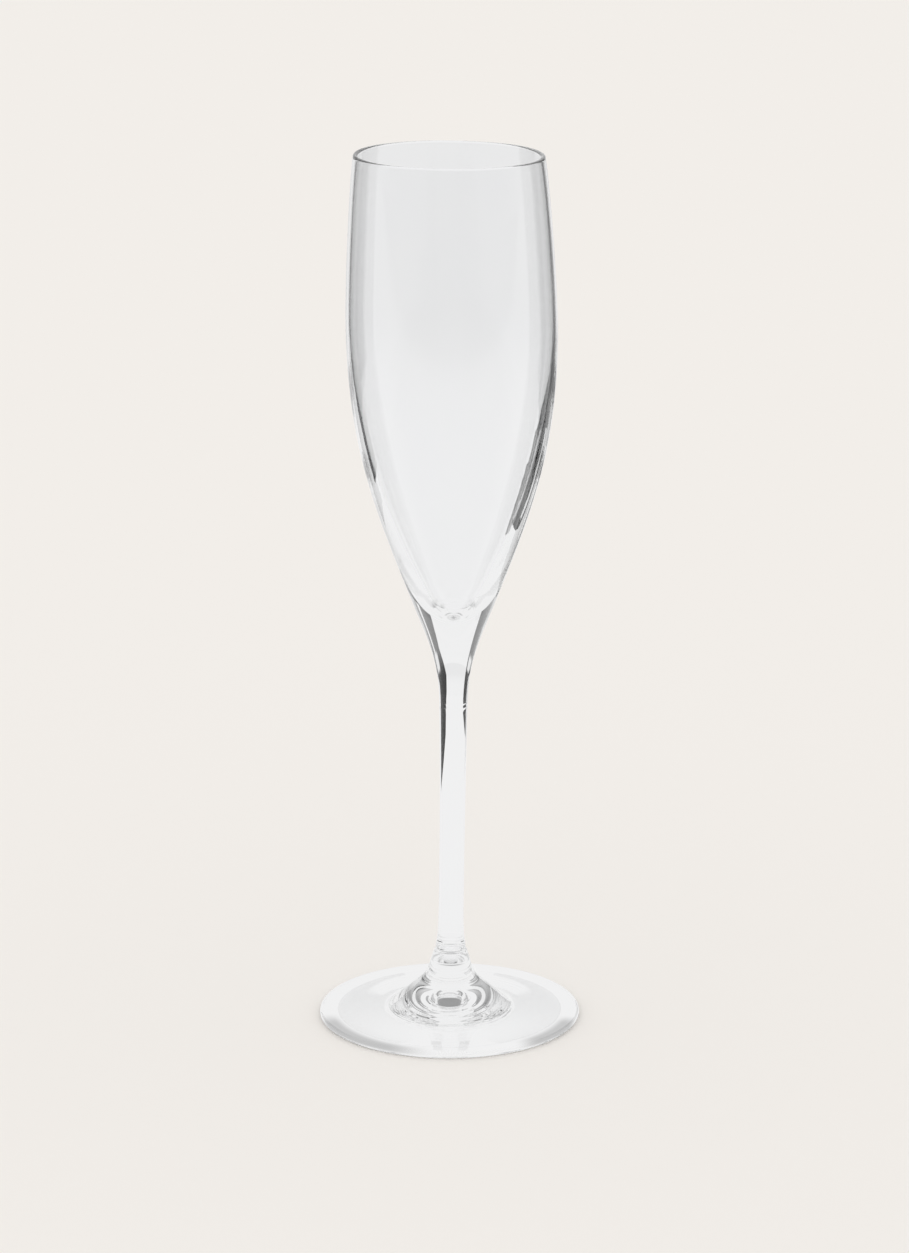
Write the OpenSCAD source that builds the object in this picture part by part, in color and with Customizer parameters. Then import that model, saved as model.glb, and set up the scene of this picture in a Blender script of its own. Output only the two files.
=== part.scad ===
// Champagne flute: a blown bowl, a drawn solid stem and a pressed foot, fused end to end.
// Millimetres, +Z up. The origin is the centre of the foot's underside, on the table.
// Every piece is a body of revolution about Z, so each outline is a list of [radius, height].

/* [Bowl] */
// Height of the lip above the table
glass_h = 240; // [228:1:252]
// Outer radius at the lip
lip_r = 25.4; // [24:0.1:27]
// Inward lean of the wall at the lip, in degrees
lip_lean = 8.5; // [4:0.5:12]
// Outer radius where the bowl is widest
belly_r = 28.25; // [27.5:0.25:31]
// Height of the widest place
belly_h = 194; // [188:1:200]
// Outer radius where the flank turns into the shoulder
flank_r = 11.5; // [10.5:0.1:12.5]
// Height of that place
flank_h = 119; // [117:0.5:121]
// Lean of the flank from upright, in degrees
flank_lean = 21; // [17:0.5:24]
// Thickness of the wall from the lip to the belly
wall_t = 1.2; // [0.9:0.1:1.6]
// Thickness of the flank, measured level, where the cavity's round floor begins
flank_t = 4.8; // [4:0.1:5.2]
// Lean of the cavity's wall from upright where its round floor begins, in degrees
inner_lean = 27; // [22:1:30]
// Height at which the cavity's round floor begins
floor_edge_h = 122.5; // [121.5:0.5:124]
// Height of the lowest point of the cavity
floor_h = 114.5; // [113.5:0.1:115.5]

/* [Stem] */
// Height of the fused joint between bowl and stem
neck_h = 89; // [84:1:94]
// Radius at that joint
neck_r = 3.85; // [3.5:0.05:4.4]
// Radius where the stem is slimmest
waist_r = 3.42; // [3:0.02:3.8]
// Height of the slimmest place
waist_h = 36; // [32:1:42]

/* [Foot] */
// Height of the fused joint between stem and foot
ankle_h = 21; // [19.5:0.5:22.5]
// Radius at that joint
ankle_r = 4; // [3.8:0.05:4.2]
// How far below the joint the groove round the collar begins
groove_drop = 1.1; // [0.6:0.1:1.6]
// Width of that groove
groove_w = 1.2; // [0.8:0.1:1.5]
// Depth of that groove
groove_d = 0.45; // [0.1:0.05:0.6]
// Radius of the small step below the collar
step_r = 5.35; // [5:0.05:5.6]
// Height of that step
step_h = 16.1; // [15.5:0.1:16.7]
// Width and height of that step
step_w = 0.1; // [0.05:0.05:0.2]
// Radius at the foot of the steep cone
cone_r = 8; // [7.5:0.1:8.6]
// Height of that place
cone_h = 10.4; // [9.8:0.1:11]
// Radius at the base of the boss
boss_r = 16.6; // [15.6:0.1:17.6]
// Height of that place
boss_h = 3.1; // [2.9:0.05:3.4]
// Radius where the fillet of the boss runs out into the disc
disc_r = 20; // [19:0.5:23]
// Height of the disc at that radius
disc_h = 2.4; // [2.2:0.05:2.7]
// Outer radius of the foot
foot_r = 36; // [34:0.5:39]
// Thickness of the foot at its rounded edge
edge_t = 1.9; // [1.4:0.1:2.1]
// Inner radius of the flat ring that the glass stands on
rest_r = 31; // [27:0.5:32.5]
// Height of the hollow under the middle of the foot
hollow_h = 1.2; // [0.6:0.1:1.6]
// Radius of the dimple in the middle of that hollow
dimple_r = 3.9; // [3.4:0.1:4.4]
// Height of the dimple above the hollow
dimple_h = 3.6; // [2:0.1:4.4]

/* [Hidden] */
glass_tint = [0.86, 0.90, 0.91, 0.45];
$fn = 160;
// Straight pieces in each curved stretch of an outline
curve_steps = 18;
// Straight pieces in the collar, which has a narrow groove
collar_steps = 36;
// Straight pieces in a rounded edge
edge_steps = 12;

// A cubic curve from a to d with handles b and c, without its first point
function curve(a, b, c, d, steps = curve_steps) = [
    for (i = [1 : steps])
        let (t = i / steps, s = 1 - t)
        s * s * s * a + 3 * s * s * t * b + 3 * s * t * t * c + t * t * t * d
];

// A curve from a to d whose two handles are given as steps away from a and from d
function bend(a, d, handles, steps = curve_steps) =
    curve(a, a + handles[0], d + handles[1], d, steps);

// Points of an arc about centre, from angle first to angle last, in degrees
function round_edge(centre, r, first, last) = [
    for (i = [0 : edge_steps])
        let (a = first + (last - first) * i / edge_steps)
        centre + r * [cos(a), sin(a)]
];

flank_slope = tan(flank_lean);
inner_slope = tan(inner_lean);
lip_slope = tan(lip_lean);
lip_round = wall_t / 2;
lip_h = glass_h - lip_round;
// How far each handle reaches along the height
lip_reach = 8;
above_belly = 12;
outer_below_belly = 33;
inner_below_belly = 34;
flank_reach = 24;
inner_reach = 11;
floor_reach = 4;
shoulder_reach = 11;
neck_reach = 13;
// Radius within which the cavity's floor is close to level
floor_flat_r = 3;
// Handles of the stem's two curves, as [radius, height] steps away from each end
upper_handles = [[(waist_r - neck_r) / 2, -13], [0, 22]];
lower_handles = [[0, -6], [waist_r - ankle_r, 2.2]];
// Handles of the curves down the foot, in the same way
collar_handles = [[0, -1.4], [-0.3, 1.6]];
cone_handles = [[0.6, -2.3], [-1.5, 1.5]];
boss_handles = [[1.6, -1.6], [-3.4, 2.8]];
fillet_handles = [[0.6, -0.5], [-1.8, 0.06]];
// Handles of the curves under the foot
hollow_handles = [[-rest_r * 0.2, 0], [rest_r * 0.5 - dimple_r, 0]];
dimple_handles = [[-dimple_r * 0.05, dimple_h * 0.6], [dimple_r * 0.7, 0]];

// One side of the wall: from the lip to the belly, then down to the place where its flank ends
function wall_down(r_lip, r_belly, below_belly, r_end, h_end, slope, reach) = concat(
    curve(
        [r_lip, lip_h],
        [r_lip + lip_reach * lip_slope, lip_h - lip_reach],
        [r_belly, belly_h + above_belly],
        [r_belly, belly_h]
    ),
    curve(
        [r_belly, belly_h],
        [r_belly, belly_h - below_belly],
        [r_end + reach * slope, h_end + reach],
        [r_end, h_end]
    )
);

// The solid shoulder, from the flank down to the neck
function shoulder_down() = curve(
    [flank_r, flank_h],
    [flank_r - shoulder_reach * flank_slope, flank_h - shoulder_reach],
    [neck_r, neck_h + neck_reach],
    [neck_r, neck_h]
);

// The round floor of the cavity, from the inner flank down to the axis
floor_edge_r = flank_r + (floor_edge_h - flank_h) * flank_slope - flank_t;
function floor_down() = curve(
    [floor_edge_r, floor_edge_h],
    [floor_edge_r - floor_reach * inner_slope, floor_edge_h - floor_reach],
    [floor_flat_r, floor_h],
    [0, floor_h]
);

// Depth of the rounded groove in the collar at a height
function groove_depth(height) =
    let (place = (ankle_h - groove_drop - height) / groove_w)
    place > 0 && place < 1 ? groove_d * pow(sin(180 * place), 2) : 0;

function reversed(points) = [for (i = [len(points) - 1 : -1 : 0]) points[i]];

// Blown bowl with its thick bottom, drawn down to a solid neck
module bowl() {
    outer_wall = wall_down(
        lip_r, belly_r, outer_below_belly,
        flank_r, flank_h, flank_slope, flank_reach
    );
    inner_wall = wall_down(
        lip_r - wall_t, belly_r - wall_t, inner_below_belly,
        floor_edge_r, floor_edge_h, inner_slope, inner_reach
    );
    outside = concat(outer_wall, shoulder_down());
    inside = concat(inner_wall, floor_down());
    lip = round_edge([lip_r - lip_round, lip_h], lip_round, 0, 180);
    color(glass_tint)
        rotate_extrude()
            polygon(concat([[0, neck_h]], reversed(outside), lip, inside));
}

// Drawn solid rod, slimmest a little above the foot
module stem() {
    upper = bend([neck_r, neck_h], [waist_r, waist_h], upper_handles);
    lower = bend([waist_r, waist_h], [ankle_r, ankle_h], lower_handles);
    color(glass_tint)
        rotate_extrude()
            polygon(concat([[0, ankle_h], [0, neck_h], [neck_r, neck_h]], upper, lower));
}

// Pressed foot: a collar and cone on a thin disc, hollow and dimpled underneath, standing on a flat ring
module foot() {
    edge_round = edge_t / 2;
    step_top = [step_r - step_w, step_h + step_w];
    plain_collar = bend([ankle_r, ankle_h], step_top, collar_handles, collar_steps);
    collar = [for (p = plain_collar) [p.x - groove_depth(p.y), p.y]];
    cone = bend([step_r, step_h], [cone_r, cone_h], cone_handles);
    boss = bend([cone_r, cone_h], [boss_r, boss_h], boss_handles);
    fillet = bend([boss_r, boss_h], [disc_r, disc_h], fillet_handles);
    edge = round_edge([foot_r - edge_round, edge_round], edge_round, 90, -90);
    hollow = bend([rest_r, 0], [dimple_r, hollow_h], hollow_handles);
    dimple = bend([dimple_r, hollow_h], [0, hollow_h + dimple_h], dimple_handles);
    color(glass_tint)
        rotate_extrude()
            polygon(concat(
                [[0, ankle_h], [ankle_r, ankle_h]], collar,
                [[step_r, step_h]], cone, boss, fillet, edge,
                [[rest_r, 0]], hollow, dimple
            ));
}

bowl();
stem();
foot();
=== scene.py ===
"""Champagne flute: clear blown bowl, drawn stem and pressed foot, on a pale floor in soft studio light."""

import math

import bpy
import numpy as np
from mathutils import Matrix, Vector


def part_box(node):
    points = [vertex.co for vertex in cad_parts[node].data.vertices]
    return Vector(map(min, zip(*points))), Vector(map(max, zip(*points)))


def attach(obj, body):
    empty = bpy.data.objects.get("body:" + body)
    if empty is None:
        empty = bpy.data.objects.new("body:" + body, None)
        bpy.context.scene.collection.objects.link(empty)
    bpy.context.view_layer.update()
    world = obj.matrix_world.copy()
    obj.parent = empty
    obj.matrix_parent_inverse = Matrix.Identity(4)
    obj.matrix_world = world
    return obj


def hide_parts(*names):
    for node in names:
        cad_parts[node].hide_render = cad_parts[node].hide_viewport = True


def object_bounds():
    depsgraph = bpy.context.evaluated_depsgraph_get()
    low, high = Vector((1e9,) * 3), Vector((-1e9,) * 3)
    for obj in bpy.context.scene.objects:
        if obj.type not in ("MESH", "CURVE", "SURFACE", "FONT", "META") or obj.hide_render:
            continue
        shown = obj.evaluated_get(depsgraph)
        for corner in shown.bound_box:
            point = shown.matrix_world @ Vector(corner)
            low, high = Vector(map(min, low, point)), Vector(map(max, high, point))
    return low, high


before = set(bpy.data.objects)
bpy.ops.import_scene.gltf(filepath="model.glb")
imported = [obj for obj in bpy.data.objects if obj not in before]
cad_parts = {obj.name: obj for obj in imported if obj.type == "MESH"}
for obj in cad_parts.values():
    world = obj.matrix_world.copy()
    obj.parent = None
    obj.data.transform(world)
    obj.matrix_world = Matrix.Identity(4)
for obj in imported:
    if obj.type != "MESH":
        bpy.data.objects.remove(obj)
cad_low, cad_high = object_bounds()

MM = 0.001

# ---- Outline of the glass, in millimetres, as the CAD source has it ----

GLASS_H = cad_high.z / MM
NECK_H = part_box("stem")[1].z / MM
ANKLE_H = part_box("foot")[1].z / MM
FOOT_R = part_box("foot")[1].x / MM
BELLY_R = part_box("bowl")[1].x / MM

# Bowl
LIP_R = 25.4
LIP_SLOPE = math.tan(math.radians(8.5))
BELLY_H = 194
FLANK_R = 11.5
FLANK_H = 119
FLANK_SLOPE = math.tan(math.radians(21))
WALL_T = 1.2
FLANK_T = 4.8
INNER_SLOPE = math.tan(math.radians(27))
FLOOR_EDGE_H = 122.5
FLOOR_EDGE_R = FLANK_R + (FLOOR_EDGE_H - FLANK_H) * FLANK_SLOPE - FLANK_T
FLOOR_H = 114.5
NECK_R = 3.85

# How far the bowl's handles reach along the height, and where the cavity's floor is close to level
LIP_REACH = 8
ABOVE_BELLY = 12
OUTER_BELOW_BELLY = 33
INNER_BELOW_BELLY = 34
FLANK_REACH = 24
INNER_REACH = 11
FLOOR_REACH = 4
SHOULDER_REACH = 11
NECK_REACH = 13
FLOOR_FLAT_R = 3

# Stem, with the handles of its curves as steps away from each end
WAIST_R = 3.42
WAIST_H = 36
ANKLE_R = 4
UPPER_HANDLES = (((WAIST_R - NECK_R) / 2, -13), (0, 22))
LOWER_HANDLES = ((0, -6), (WAIST_R - ANKLE_R, 2.2))

# Foot, from the collar down to the edge
STEP_R = 5.35
STEP_H = 16.1
STEP_W = 0.1
CONE_R = 8
CONE_H = 10.4
BOSS_R = 16.6
BOSS_H = 3.1
DISC_R = 20
DISC_H = 2.4
EDGE_T = 1.9
GROOVE_H = ANKLE_H - 1.1
GROOVE_W = 1.2
GROOVE_D = 0.45
COLLAR_HANDLES = ((0, -1.4), (-0.3, 1.6))
CONE_HANDLES = ((0.6, -2.3), (-1.5, 1.5))
BOSS_HANDLES = ((1.6, -1.6), (-3.4, 2.8))
FILLET_HANDLES = ((0.6, -0.5), (-1.8, 0.06))

# Underside of the foot
REST_R = 31
HOLLOW_H = 1.2
DIMPLE_R = 3.9
DIMPLE_H = 3.6
HOLLOW_HANDLES = ((-REST_R * 0.2, 0), (REST_R * 0.5 - DIMPLE_R, 0))
DIMPLE_HANDLES = ((-DIMPLE_R * 0.05, DIMPLE_H * 0.6), (DIMPLE_R * 0.7, 0))

# ---- What only the visual meshes have, in millimetres ----

# How far the axis bows sideways between foot and lip
BOW = 1.2
# A crease where bowl and stem were fused
SEAM_H = 0.08
SEAM_D = 0.008
# The hand-finished lip: its tilt, and waves given as count, phase and size
LIP_WAVES_FROM = 205
LIP_TILT = 0.2
LIP_WAVES = ((3, 0.4, 0.04), (7, 1.9, 0.024))
# The uneven rings that shaping left under the foot: where they end and fade, how far they drift in and
# out round the axis (waves again, in radians), and how their strength varies
RING_END = 18
RING_PITCH = 2.2
RING_DEPTH = 0.08
RING_FADE_IN = 1.5
RING_FADE_OUT = 4
RING_DRIFT = ((1, 0.7, 1.1), (2, 2.1, 0.6))
RING_SWELL = 0.4
RING_MOTTLE = 0.3
MOTTLE_PHASE = 4.2

# Heights that differ by less than this count as the same
SAME_H = 1e-3

# Straight pieces round the axis and along each stretch of an outline
AROUND = 300
CURVE_STEPS = 36
COLLAR_STEPS = 60
HOLLOW_STEPS = 80
DISC_STEPS = 16
RING_STEPS = 6
EDGE_STEPS = 14
CAP_STEPS = 3

# ---- Glass ----

IOR = 1.5
# Factors of X, Y and Z that draw the noise out along Z
STRIAE_STRETCH = (1, 1, 0.06)
NOISE_DETAIL = 2.0
# Patches of tint and haze, and the noise values between which haze comes in
PATCH_GRAIN = 60
HAZE_FROM = 0.45
HAZE_TO = 0.7
CLEAR = (1, 1, 1, 1)
COOL = (0.985, 0.988, 0.995, 1)

# ---- Camera and stage, in metres and radians ----

LENS = 119.03
CAMERA_PLACE = (0.0014, -1.0846, 0.4057)
CAMERA_DOWN = math.radians(15.188)

WHITE = (1, 1, 1, 1)
FLOOR_COLOUR = (0.896, 0.863, 0.823, 1)
FLOOR_HALF = 8.0
# Brightness of the floor and backdrop as the glass sees them
PAPER = 0.88
# The floor fades towards the room in front, and a little far behind
FADE_NEAR = 0.45
FADE_FAR = 0.9
FADE_LEVEL = 0.6
FAR_START = 0.5
FAR_END = 1.15
FAR_LEVEL = 0.93
# A painted shadow: a dark spot on the floor under the middle of the foot
SHADOW_SPOT_R = 0.004
SHADOW_SPOT_END = 0.007
SHADOW_SPOT_LEVEL = 0.34
# Painted shadow: two grey arcs on the floor under the foot's front rim: their radii, their angles from
# straight in front, and how much light they take away
SHADE_ARC_RADII = (0.0305, 0.0335, 0.0362, 0.0378)
SHADE_ARC_LEFT = (-1.45, -1.2, -0.55, -0.1)
SHADE_ARC_RIGHT = (0.55, 0.8, 1.2, 1.4)
SHADE_ARC_DEPTH = 0.4

# The room before the glass, and where it turns into the white studio behind it
ROOM = 0.6
WORLD_LOW = -0.6
WORLD_HIGH = 0.3

# Two dark cards. Each is three upright columns of points, with one point for each of these heights
CARD_LEVELS = (0, 0.03, 0.07, 0.11, 0.15, 0.26)
CARD_RIGHT = (
    ((0.118, 0.26), (0.1, 0.28), (0.09, 0.285), (0.12, 0.29), (0.15, 0.3), (0.15, 0.3)),
    ((0.162, 0.15),) * 6,
    ((0.17, 0.12),) * 3 + ((0.24, 0.08),) * 3,
)
CARD_LEFT = (
    ((-0.175, 0.275),) * 6,
    ((-0.24, 0.17),) * 6,
    ((-0.22, 0.21),) * 3 + ((-0.27, 0.08),) * 3,
)
# The cards are black below the lower height and dark grey above the upper one
CARD_LOW = 0.07
CARD_HIGH = 0.16
CARD_GREY = 0.2
# Light that has met both walls of the bowl has met four surfaces, and through one wall it has met two.
# A card lets the first pass below the bowl's heights, and most of the second between the mouth's heights,
# but only on the diagonals, which are azimuths from straight behind
BOTH_WALLS = 4
ONE_WALL = 2
BOWL_LOW = 0.13
BOWL_HIGH = 0.15
MOUTH = (0.085, 0.1, 0.13, 0.15)
MOUTH_CLEAR = 0.9
DIAGONAL = tuple(math.radians(a) for a in (34, 38, 52, 56))

# A bright upright slit of light close to the bowl
SLIT_R = 0.07
SLIT_FROM = math.radians(40)
SLIT_TO = math.radians(46)
SLIT_LOW = 0.11
SLIT_HIGH = 0.145

# A curved screen on each side of the foot, seen only by light that has met at least three surfaces
SCREEN_R = 0.05
SCREEN_FROM = math.radians(15)
SCREEN_TO = math.radians(80)
SCREEN_LOW = 0.008
SCREEN_HIGH = 0.045
SCREEN_DARK = 0.28
SCREEN_PALE = 0.75
SCREEN_STEPS = 8
SCREEN_DEPTH = 2.5

# Enough for light that runs along inside the bowl's wall to get out again
BOUNCES = 128


# ---- Outlines, as lists of (radius, height) ----


def curve(a, b, c, d, steps=CURVE_STEPS):
    """Points of a cubic curve from a to d with handles b and c, without its first point."""
    a, b, c, d = (np.array(p, float) for p in (a, b, c, d))
    points = []
    for i in range(1, steps + 1):
        t = i / steps
        s = 1 - t
        points.append(s**3 * a + 3 * s * s * t * b + 3 * s * t * t * c + t**3 * d)
    return points


def bend(a, d, handles, steps=CURVE_STEPS):
    """A curve from a to d whose two handles are given as steps away from a and from d."""
    return curve(a, np.add(a, handles[0]), np.add(d, handles[1]), d, steps)


def line(a, b, steps):
    """Points of a straight stretch from a to b, without its first point."""
    a, b = np.array(a, float), np.array(b, float)
    return [a + (b - a) * i / steps for i in range(1, steps + 1)]


def round_edge(centre, radius, start, end):
    """Points of an arc about centre, from angle start to angle end in degrees."""
    angles = np.radians(np.linspace(start, end, EDGE_STEPS + 1))
    return [np.array(centre) + radius * np.array([math.cos(a), math.sin(a)]) for a in angles]


def wall_down(lip_r, belly_r, below_belly, end, slope, reach):
    """One side of the bowl's wall, from the lip down to the place where its flank ends."""
    lip_h = GLASS_H - WALL_T / 2
    upper = curve(
        (lip_r, lip_h),
        (lip_r + LIP_REACH * LIP_SLOPE, lip_h - LIP_REACH),
        (belly_r, BELLY_H + ABOVE_BELLY),
        (belly_r, BELLY_H),
    )
    lower = curve(
        (belly_r, BELLY_H),
        (belly_r, BELLY_H - below_belly),
        (end[0] + reach * slope, end[1] + reach),
        end,
    )
    return upper + lower


def shoulder_down():
    """The solid shoulder, from the flank down to the neck, ending in the crease of the fused joint."""
    shoulder = curve(
        (FLANK_R, FLANK_H),
        (FLANK_R - SHOULDER_REACH * FLANK_SLOPE, FLANK_H - SHOULDER_REACH),
        (NECK_R, NECK_H + NECK_REACH),
        (NECK_R, NECK_H),
    )
    seam = [np.array([NECK_R, NECK_H + SEAM_H]), np.array([NECK_R - SEAM_D, NECK_H])]
    return shoulder[:-1] + seam


def floor_down():
    """The cavity's round floor, from the inner flank down to the axis."""
    return curve(
        (FLOOR_EDGE_R, FLOOR_EDGE_H),
        (FLOOR_EDGE_R - FLOOR_REACH * INNER_SLOPE, FLOOR_EDGE_H - FLOOR_REACH),
        (FLOOR_FLAT_R, FLOOR_H),
        (0, FLOOR_H),
    )


def bowl_outline():
    """The cap at the neck, the outside up to the lip, and the inside down to the axis."""
    flank = (FLANK_R, FLANK_H)
    floor_edge = (FLOOR_EDGE_R, FLOOR_EDGE_H)
    cap = line((0, NECK_H), (NECK_R - SEAM_D, NECK_H), CAP_STEPS)[:-1]
    outside = wall_down(LIP_R, BELLY_R, OUTER_BELOW_BELLY, flank, FLANK_SLOPE, FLANK_REACH)
    outside += shoulder_down()
    lip = round_edge((LIP_R - WALL_T / 2, GLASS_H - WALL_T / 2), WALL_T / 2, 0, 180)
    inside = wall_down(
        LIP_R - WALL_T, BELLY_R - WALL_T, INNER_BELOW_BELLY, floor_edge, INNER_SLOPE, INNER_REACH
    )
    return [(0, NECK_H)] + cap + outside[::-1] + lip + inside + floor_down()


def stem_outline():
    """The lower cap, the side up to the neck, and the upper cap."""
    upper = bend((NECK_R, NECK_H), (WAIST_R, WAIST_H), UPPER_HANDLES)
    lower = bend((WAIST_R, WAIST_H), (ANKLE_R, ANKLE_H), LOWER_HANDLES)
    side = [(NECK_R - SEAM_D, NECK_H), (NECK_R, NECK_H - SEAM_H)] + upper + lower
    low_cap = line((0, ANKLE_H), (ANKLE_R, ANKLE_H), CAP_STEPS)[:-1]
    high_cap = line((NECK_R - SEAM_D, NECK_H), (0, NECK_H), CAP_STEPS)
    return [(0, ANKLE_H)] + low_cap + side[::-1] + high_cap


def groove_depth(height):
    """How deep the rounded groove cuts into the collar at a height, in millimetres."""
    place = (GROOVE_H - height) / GROOVE_W
    return GROOVE_D * math.sin(math.pi * place) ** 2 if 0 < place < 1 else 0


def foot_top():
    """The cap, the grooved collar, the cone, the boss and the disc, out to the foot's edge."""
    cap = line((0, ANKLE_H), (ANKLE_R, ANKLE_H), CAP_STEPS)
    step_top = (STEP_R - STEP_W, STEP_H + STEP_W)
    collar = bend((ANKLE_R, ANKLE_H), step_top, COLLAR_HANDLES, COLLAR_STEPS)
    collar = [p - (groove_depth(p[1]), 0) for p in collar]
    cone = bend((STEP_R, STEP_H), (CONE_R, CONE_H), CONE_HANDLES)
    boss = bend((CONE_R, CONE_H), (BOSS_R, BOSS_H), BOSS_HANDLES)
    fillet = bend((BOSS_R, BOSS_H), (DISC_R, DISC_H), FILLET_HANDLES)
    disc = line((DISC_R, DISC_H), (FOOT_R - EDGE_T / 2, EDGE_T), DISC_STEPS)[:-1]
    return cap + collar + [(STEP_R, STEP_H)] + cone + boss + fillet + disc


def foot_underside():
    """The flat ring that the glass stands on, the hollow and the dimple, in to the axis."""
    ring = line((FOOT_R - EDGE_T / 2, 0), (REST_R, 0), RING_STEPS)
    hollow = bend((REST_R, 0), (DIMPLE_R, HOLLOW_H), HOLLOW_HANDLES, HOLLOW_STEPS)
    dimple = bend((DIMPLE_R, HOLLOW_H), (0, HOLLOW_H + DIMPLE_H), DIMPLE_HANDLES)
    return ring + hollow + dimple


def foot_outline():
    """From the top of the dimple out to the rounded edge, and up to the collar's cap."""
    edge = round_edge((FOOT_R - EDGE_T / 2, EDGE_T / 2), EDGE_T / 2, 90, -90)
    return ([(0, ANKLE_H)] + foot_top() + edge + foot_underside())[::-1]


# ---- What hand work adds to the outlines ----


def lean(height):
    """How far the hand-drawn glass bows sideways at a height, in millimetres."""
    return BOW * math.sin(math.pi * height / GLASS_H)


def waves(angle, terms):
    """The sum of sine waves round the axis, each given as its count, phase and size."""
    return sum(size * math.sin(count * angle + phase) for count, phase, size in terms)


def level_all_round(radius, height, angle):
    """No lift anywhere, for a piece that is round and true."""
    return 0


def lip_lift(radius, height, angle):
    """How far the hand-finished lip rises or falls round its edge, in millimetres."""
    near_lip = min(max((height - LIP_WAVES_FROM) / (GLASS_H - LIP_WAVES_FROM), 0), 1)
    return near_lip * near_lip * (waves(angle, LIP_WAVES) - LIP_TILT * math.cos(angle))


def ring_lift(radius, height, angle):
    """How far the faint, uneven rings lift the foot's underside at a place, in millimetres."""
    if height > HOLLOW_H + SAME_H or radius < DIMPLE_R or radius > RING_END:
        return 0
    fade_in = min((radius - DIMPLE_R) / RING_FADE_IN, 1)
    fade_out = min((RING_END - radius) / RING_FADE_OUT, 1)
    mottle = math.sin(angle + MOTTLE_PHASE) * math.sin(radius)
    strength = 1 + RING_SWELL * math.cos(2 * angle) + RING_MOTTLE * mottle
    wave = math.sin(2 * math.pi * radius / RING_PITCH + waves(angle, RING_DRIFT))
    return RING_DEPTH * fade_in * fade_out * strength * wave


# ---- Meshes ----


def add_mesh(name, vertices, faces):
    """A new object with a mesh, in metres."""
    mesh = bpy.data.meshes.new(name)
    mesh.from_pydata(vertices, [], faces)
    thing = bpy.data.objects.new(name, mesh)
    bpy.context.scene.collection.objects.link(thing)
    return thing


def ring_points(radius, height, lift):
    """The points of one level ring round the bowed axis."""
    points = []
    for angle in np.linspace(0, 2 * math.pi, AROUND, endpoint=False):
        x = radius * math.cos(angle) + lean(height)
        z = height + lift(radius, height, angle)
        points.append((x * MM, radius * math.sin(angle) * MM, z * MM))
    return points


def revolve(name, outline, lift=level_all_round):
    """A closed mesh from an outline whose two ends lie on the axis, ordered from low to high outside."""
    ends = [(lean(height) * MM, 0, height * MM) for _, height in (outline[0], outline[-1])]
    vertices = [ends[0]]
    for radius, height in outline[1:-1]:
        vertices += ring_points(radius, height, lift)
    vertices.append(ends[1])
    last = len(vertices) - 1
    rings = len(outline) - 2
    top = 1 + (rings - 1) * AROUND
    faces = []
    for j in range(AROUND):
        k = (j + 1) % AROUND
        faces.append((0, 1 + k, 1 + j))
        for i in range(rings - 1):
            low = 1 + i * AROUND
            high = low + AROUND
            faces.append((low + j, low + k, high + k, high + j))
        faces.append((top + j, top + k, last))
    piece = add_mesh(name, vertices, faces)
    piece.data.shade_smooth()
    return piece


# ---- Nodes ----


def link_nodes(tree, kind, *inputs, **settings):
    """A new node of a kind with its inputs linked or set, in order."""
    node = tree.nodes.new(kind)
    for key, value in settings.items():
        setattr(node, key, value)
    for i, value in enumerate(inputs):
        if value is None:
            continue
        if isinstance(value, bpy.types.NodeSocket):
            tree.links.new(value, node.inputs[i])
        else:
            node.inputs[i].default_value = value
    return node


def math_node(tree, operation, a, b=None, c=None):
    return link_nodes(tree, "ShaderNodeMath", a, b, c, operation=operation).outputs[0]


def product(tree, *values):
    """All the values multiplied together, in order."""
    result = values[0]
    for value in values[1:]:
        result = math_node(tree, "MULTIPLY", result, value)
    return result


def ramp(tree, value, low, high, at_low, at_high):
    """Smoothly from at_low to at_high as value goes from low to high."""
    node = link_nodes(tree, "ShaderNodeMapRange", value, low, high, at_low, at_high)
    node.interpolation_type = "SMOOTHSTEP"
    return node.outputs[0]


def pulse(tree, value, start, full, fading, end):
    """Smoothly up from 0 to 1 between start and full, and down again between fading and end."""
    return product(tree, ramp(tree, value, start, full, 0, 1), ramp(tree, value, fading, end, 1, 0))


def mix_colours(tree, factor, first, second):
    """A colour that goes from first to second as factor goes from 0 to 1."""
    mix = tree.nodes.new("ShaderNodeMix")
    mix.data_type = "RGBA"
    sockets = [socket for socket in mix.inputs if socket.type == "RGBA"]
    sockets[0].default_value = first
    sockets[1].default_value = second
    tree.links.new(factor, mix.inputs["Factor"])
    return next(socket for socket in mix.outputs if socket.type == "RGBA")


def noise(tree, place, scale):
    node = tree.nodes.new("ShaderNodeTexNoise")
    node.inputs["Scale"].default_value = scale
    node.inputs["Detail"].default_value = NOISE_DETAIL
    tree.links.new(place, node.inputs["Vector"])
    return node.outputs[0]


def object_place(tree):
    return tree.nodes.new("ShaderNodeTexCoord").outputs["Object"]


def scene_place(tree):
    return tree.nodes.new("ShaderNodeNewGeometry").outputs["Position"]


def separate(tree, vector):
    """The X, Y and Z of a vector, by name."""
    return link_nodes(tree, "ShaderNodeSeparateXYZ", vector).outputs


def length(tree, vector):
    return link_nodes(tree, "ShaderNodeVectorMath", vector, operation="LENGTH").outputs["Value"]


def scaled(tree, vector, factors):
    return link_nodes(tree, "ShaderNodeVectorMath", vector, factors, operation="MULTIPLY").outputs[0]


def emission(tree, level):
    return link_nodes(tree, "ShaderNodeEmission", WHITE, level).outputs[0]


def transparent(tree):
    return tree.nodes.new("ShaderNodeBsdfTransparent").outputs[0]


def mix_shaders(tree, factor, first, second):
    return link_nodes(tree, "ShaderNodeMixShader", factor, first, second).outputs[0]


def bare_material(name):
    """A material without a shader, and its nodes."""
    material = bpy.data.materials.new(name)
    material.use_nodes = True
    material.node_tree.nodes.remove(material.node_tree.nodes["Principled BSDF"])
    return material, material.node_tree


def show(tree, shader):
    tree.links.new(shader, tree.nodes["Material Output"].inputs["Surface"])


# ---- Glass ----


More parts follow.
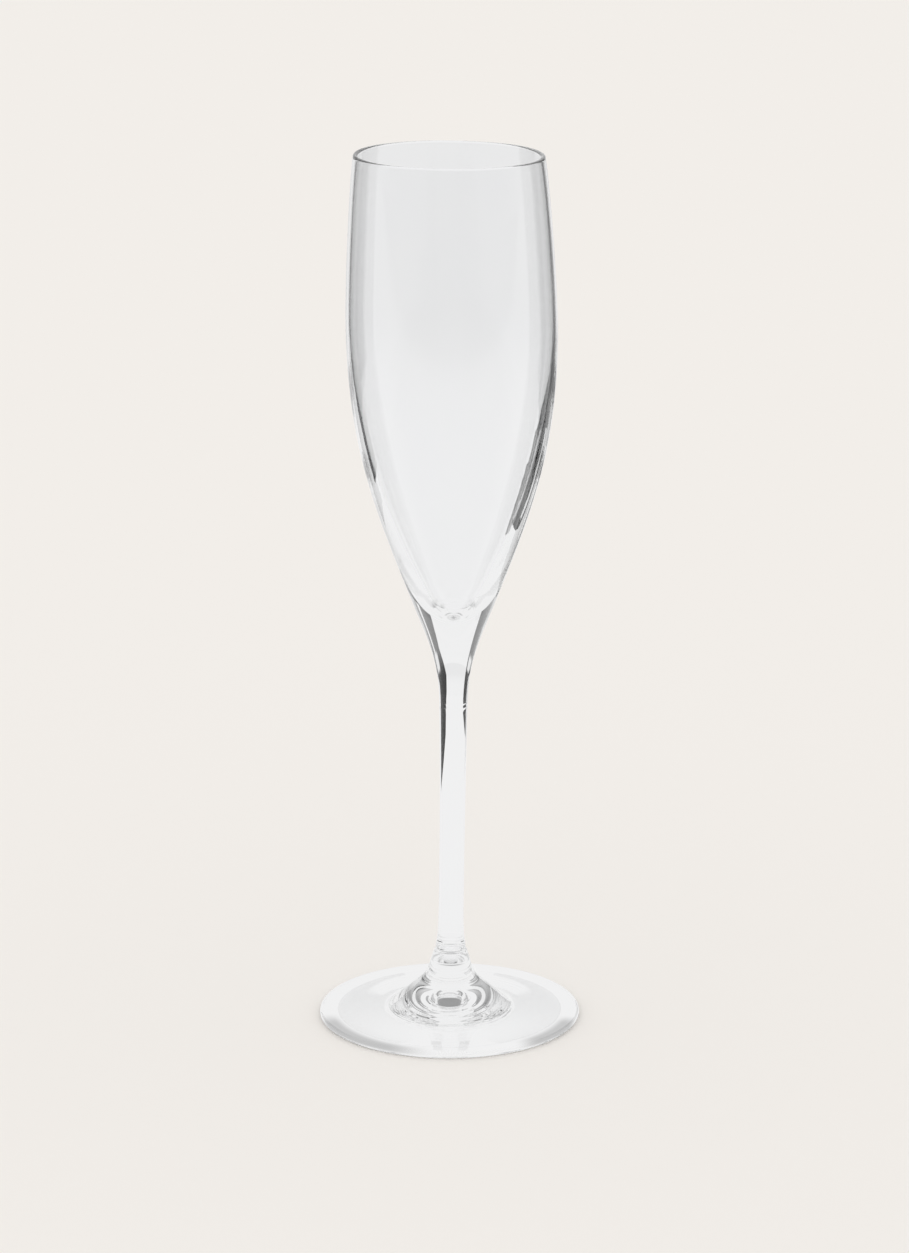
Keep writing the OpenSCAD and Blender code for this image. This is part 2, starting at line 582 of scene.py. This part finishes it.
def drawn_striae(tree):
    """Coordinates in which noise reads as the upright striae of drawn and blown glass."""
    return scaled(tree, object_place(tree), STRIAE_STRETCH)


def turned_rings(tree):
    """Coordinates of radius and height, in which noise reads as the rings that a shaping tool leaves."""
    place = object_place(tree)
    radius = length(tree, scaled(tree, place, (1, 1, 0)))
    height = separate(tree, place)["Z"]
    return link_nodes(tree, "ShaderNodeCombineXYZ", radius, 0.0, height).outputs[0]


# For each piece: the layout of its surface marks, their grain, their depth in metres, and its haze
GLASSES = {
    "bowl": (drawn_striae, 320, 1.2e-5, 0.0),
    "stem": (drawn_striae, 420, 6e-6, 0.0),
    "foot": (turned_rings, 900, 6e-6, 0.04),
}


def glass_material(name, layout, grain, depth, haze):
    """Clear glass: faint surface marks, a breath of cool tint, and a little haze where it was pressed."""
    material = bpy.data.materials.new(name)
    material.use_nodes = True
    tree = material.node_tree
    shader = tree.nodes["Principled BSDF"]
    shader.inputs["IOR"].default_value = IOR
    shader.inputs["Transmission Weight"].default_value = 1.0
    bump = tree.nodes.new("ShaderNodeBump")
    bump.inputs["Distance"].default_value = depth
    tree.links.new(noise(tree, layout(tree), grain), bump.inputs["Height"])
    tree.links.new(bump.outputs["Normal"], shader.inputs["Normal"])
    patches = noise(tree, object_place(tree), PATCH_GRAIN)
    tree.links.new(mix_colours(tree, patches, CLEAR, COOL), shader.inputs["Base Color"])
    tree.links.new(ramp(tree, patches, HAZE_FROM, HAZE_TO, 0.0, haze), shader.inputs["Roughness"])
    return material


def joint_material():
    """The fused faces inside the glass: light passes them unchanged."""
    material, tree = bare_material("fused_joint")
    show(tree, transparent(tree))
    return material


def sharpen_cap_edges(mesh):
    """Marks the edges where a cap meets the wall as sharp, so that their shading stays apart."""
    caps = {e for f in mesh.polygons if f.material_index == 1 for e in f.edge_keys}
    walls = {e for f in mesh.polygons if f.material_index == 0 for e in f.edge_keys}
    sharp = caps & walls
    for edge in mesh.edges:
        if edge.key in sharp:
            edge.use_edge_sharp = True


def finish_piece(piece, node, joint, cap_heights):
    """Materials, sharp cap edges, and the frame's bookkeeping for one piece."""
    mesh = piece.data
    mesh.materials.append(glass_material(node + "_clear_glass", *GLASSES[node]))
    mesh.materials.append(joint)
    for face in mesh.polygons:
        heights = [mesh.vertices[v].co.z / MM for v in face.vertices]
        for cap in cap_heights:
            if max(abs(h - cap) for h in heights) < SAME_H:
                face.material_index = 1
    sharpen_cap_edges(mesh)
    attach(piece, "root")
    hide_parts(node)


def make_glass():
    """The three pieces. Blender adds .001 to their names, because the CAD nodes have the plain ones."""
    joint = joint_material()
    finish_piece(revolve("bowl", bowl_outline(), lip_lift), "bowl", joint, [NECK_H])
    finish_piece(revolve("stem", stem_outline()), "stem", joint, [NECK_H, ANKLE_H])
    finish_piece(revolve("foot", foot_outline(), ring_lift), "foot", joint, [ANKLE_H])


# ---- Camera and stage ----


def make_camera():
    """A long lens, a little above the lip, looking down on the glass."""
    data = bpy.data.cameras.new("camera")
    data.lens = LENS
    camera = bpy.data.objects.new("camera", data)
    camera.location = CAMERA_PLACE
    camera.rotation_euler = (math.pi / 2 - CAMERA_DOWN, 0, 0)
    bpy.context.scene.collection.objects.link(camera)
    bpy.context.scene.camera = camera


def painted_shade_under_foot(tree, front, side):
    """Two factors of the floor's brightness, painted shadow under the foot: the middle spot, the front
    arcs.
    """
    radius = length(tree, scene_place(tree))
    shadow_spot = ramp(tree, radius, SHADOW_SPOT_R, SHADOW_SPOT_END, SHADOW_SPOT_LEVEL, 1)
    angle = math_node(tree, "ARCTAN2", side, front)
    both = math_node(tree, "ADD", pulse(tree, angle, *SHADE_ARC_LEFT), pulse(tree, angle, *SHADE_ARC_RIGHT))
    dimming = product(tree, pulse(tree, radius, *SHADE_ARC_RADII), both, -SHADE_ARC_DEPTH)
    return shadow_spot, math_node(tree, "ADD", dimming, 1.0)


def make_floor():
    """A plain pale floor. The glass sees it as white paper, with painted shadow under the foot."""
    half = FLOOR_HALF
    corners = [(-half, -half, 0), (half, -half, 0), (half, half, 0), (-half, half, 0)]
    floor = add_mesh("floor", corners, [(0, 1, 2, 3)])
    material, tree = bare_material("floor")
    place = separate(tree, scene_place(tree))
    front = math_node(tree, "MULTIPLY", place["Y"], -1.0)
    to_room = ramp(tree, front, FADE_NEAR, FADE_FAR, PAPER, FADE_LEVEL)
    far_behind = ramp(tree, front, -FAR_END, -FAR_START, FAR_LEVEL, 1)
    # Painted shadow on the floor under the foot, seen only through the glass
    shadow_spot, shade_arcs = painted_shade_under_foot(tree, front, place["X"])
    paper = emission(tree, product(tree, to_room, shadow_spot, shade_arcs, far_behind))
    diffuse = link_nodes(tree, "ShaderNodeBsdfDiffuse", FLOOR_COLOUR).outputs[0]
    seen = tree.nodes.new("ShaderNodeLightPath").outputs["Is Camera Ray"]
    show(tree, mix_shaders(tree, seen, paper, diffuse))
    floor.data.materials.append(material)


def make_world():
    """White behind the glass and a dim room before it.

    The camera sees the floor's colour instead, and the floor itself is lit by plain white.
    """
    world = bpy.data.worlds.new("studio")
    world.use_nodes = True
    bpy.context.scene.world = world
    tree = world.node_tree
    place = separate(tree, tree.nodes.new("ShaderNodeTexCoord").outputs["Generated"])
    studio = ramp(tree, place["Y"], WORLD_LOW, WORLD_HIGH, ROOM, PAPER)
    path = tree.nodes.new("ShaderNodeLightPath").outputs
    flat = math_node(tree, "MAXIMUM", path["Is Diffuse Ray"], path["Is Camera Ray"])
    level = link_nodes(tree, "ShaderNodeMix", flat, None, studio, 1.0).outputs[0]
    background = tree.nodes["Background"].inputs
    tree.links.new(level, background["Strength"])
    tree.links.new(mix_colours(tree, path["Is Camera Ray"], WHITE, FLOOR_COLOUR), background["Color"])


def show_in_glass_only(thing, material):
    """Gives a stage object its material, and hides it from the camera and the floor."""
    thing.data.materials.append(material)
    thing.visible_camera = False
    thing.visible_diffuse = False
    thing.visible_shadow = False


def has_met(tree, surfaces):
    """1 for light that has met exactly this many surfaces, and otherwise 0."""
    depth = tree.nodes.new("ShaderNodeLightPath").outputs["Ray Depth"]
    return math_node(tree, "COMPARE", depth, surfaces, 0.5)


def straight_through(tree, place):
    """How freely a place on a card lets light pass that has crossed the bowl straight, from 0 to 1."""
    height = place["Z"]
    through_bowl = product(tree, has_met(tree, BOTH_WALLS), ramp(tree, height, BOWL_LOW, BOWL_HIGH, 1, 0))
    through_mouth = product(tree, has_met(tree, ONE_WALL), pulse(tree, height, *MOUTH), MOUTH_CLEAR)
    azimuth = math_node(tree, "ABSOLUTE", math_node(tree, "ARCTAN2", place["X"], place["Y"]))
    either = math_node(tree, "ADD", through_bowl, through_mouth)
    return product(tree, either, pulse(tree, azimuth, *DIAGONAL))


def make_card(name, columns):
    """A dark card that stands beside the glass, folded along upright lines."""
    vertices = []
    for column in columns:
        vertices += [(x, y, z) for (x, y), z in zip(column, CARD_LEVELS)]
    rows = len(CARD_LEVELS)
    faces = []
    for i in range(len(columns) - 1):
        for k in range(rows - 1):
            first = i * rows + k
            faces.append((first, first + 1, first + rows + 1, first + rows))
    material, tree = bare_material(name)
    place = separate(tree, scene_place(tree))
    dark = emission(tree, ramp(tree, place["Z"], CARD_LOW, CARD_HIGH, 0, CARD_GREY))
    show(tree, mix_shaders(tree, straight_through(tree, place), dark, transparent(tree)))
    show_in_glass_only(add_mesh(name, vertices, faces), material)


def arc_wall(name, radius, azimuths, low, high):
    """A thin wall that stands along an arc about the axis. Azimuths are measured from straight behind."""
    places = [(radius * math.sin(a), radius * math.cos(a)) for a in azimuths]
    vertices = [(x, y, z) for x, y in places for z in (low, high)]
    faces = [(2 * k, 2 * k + 1, 2 * k + 3, 2 * k + 2) for k in range(len(places) - 1)]
    return add_mesh(name, vertices, faces)


def make_screen(name, side):
    """A pale curved screen beside the foot. Light that has met fewer than three surfaces passes through."""
    azimuths = side * np.linspace(SCREEN_FROM, SCREEN_TO, SCREEN_STEPS + 1)
    material, tree = bare_material(name)
    height = separate(tree, scene_place(tree))["Z"]
    pale = emission(tree, ramp(tree, height, SCREEN_LOW, SCREEN_HIGH, SCREEN_DARK, SCREEN_PALE))
    depth = tree.nodes.new("ShaderNodeLightPath").outputs["Ray Depth"]
    bounced = math_node(tree, "GREATER_THAN", depth, SCREEN_DEPTH)
    show(tree, mix_shaders(tree, bounced, transparent(tree), pale))
    show_in_glass_only(arc_wall(name, SCREEN_R, azimuths, SCREEN_LOW, SCREEN_HIGH), material)


def make_slit():
    """A bright upright slit of light, whose image is the white line in the bowl's right-hand band."""
    material, tree = bare_material("slit")
    show(tree, emission(tree, PAPER))
    show_in_glass_only(arc_wall("slit", SLIT_R, (SLIT_FROM, SLIT_TO), SLIT_LOW, SLIT_HIGH), material)


def set_rendering():
    """Plain colours, and light that may bounce often enough."""
    scene = bpy.context.scene
    scene.view_settings.view_transform = "Standard"
    scene.cycles.max_bounces = BOUNCES
    scene.cycles.transmission_bounces = BOUNCES
    scene.cycles.glossy_bounces = BOUNCES
    scene.cycles.transparent_max_bounces = BOUNCES


make_glass()
make_camera()
make_floor()
make_world()
make_card("card_right", CARD_RIGHT)
make_card("card_left", CARD_LEFT)
make_screen("screen_left", -1)
make_screen("screen_right", 1)
make_slit()
set_rendering()
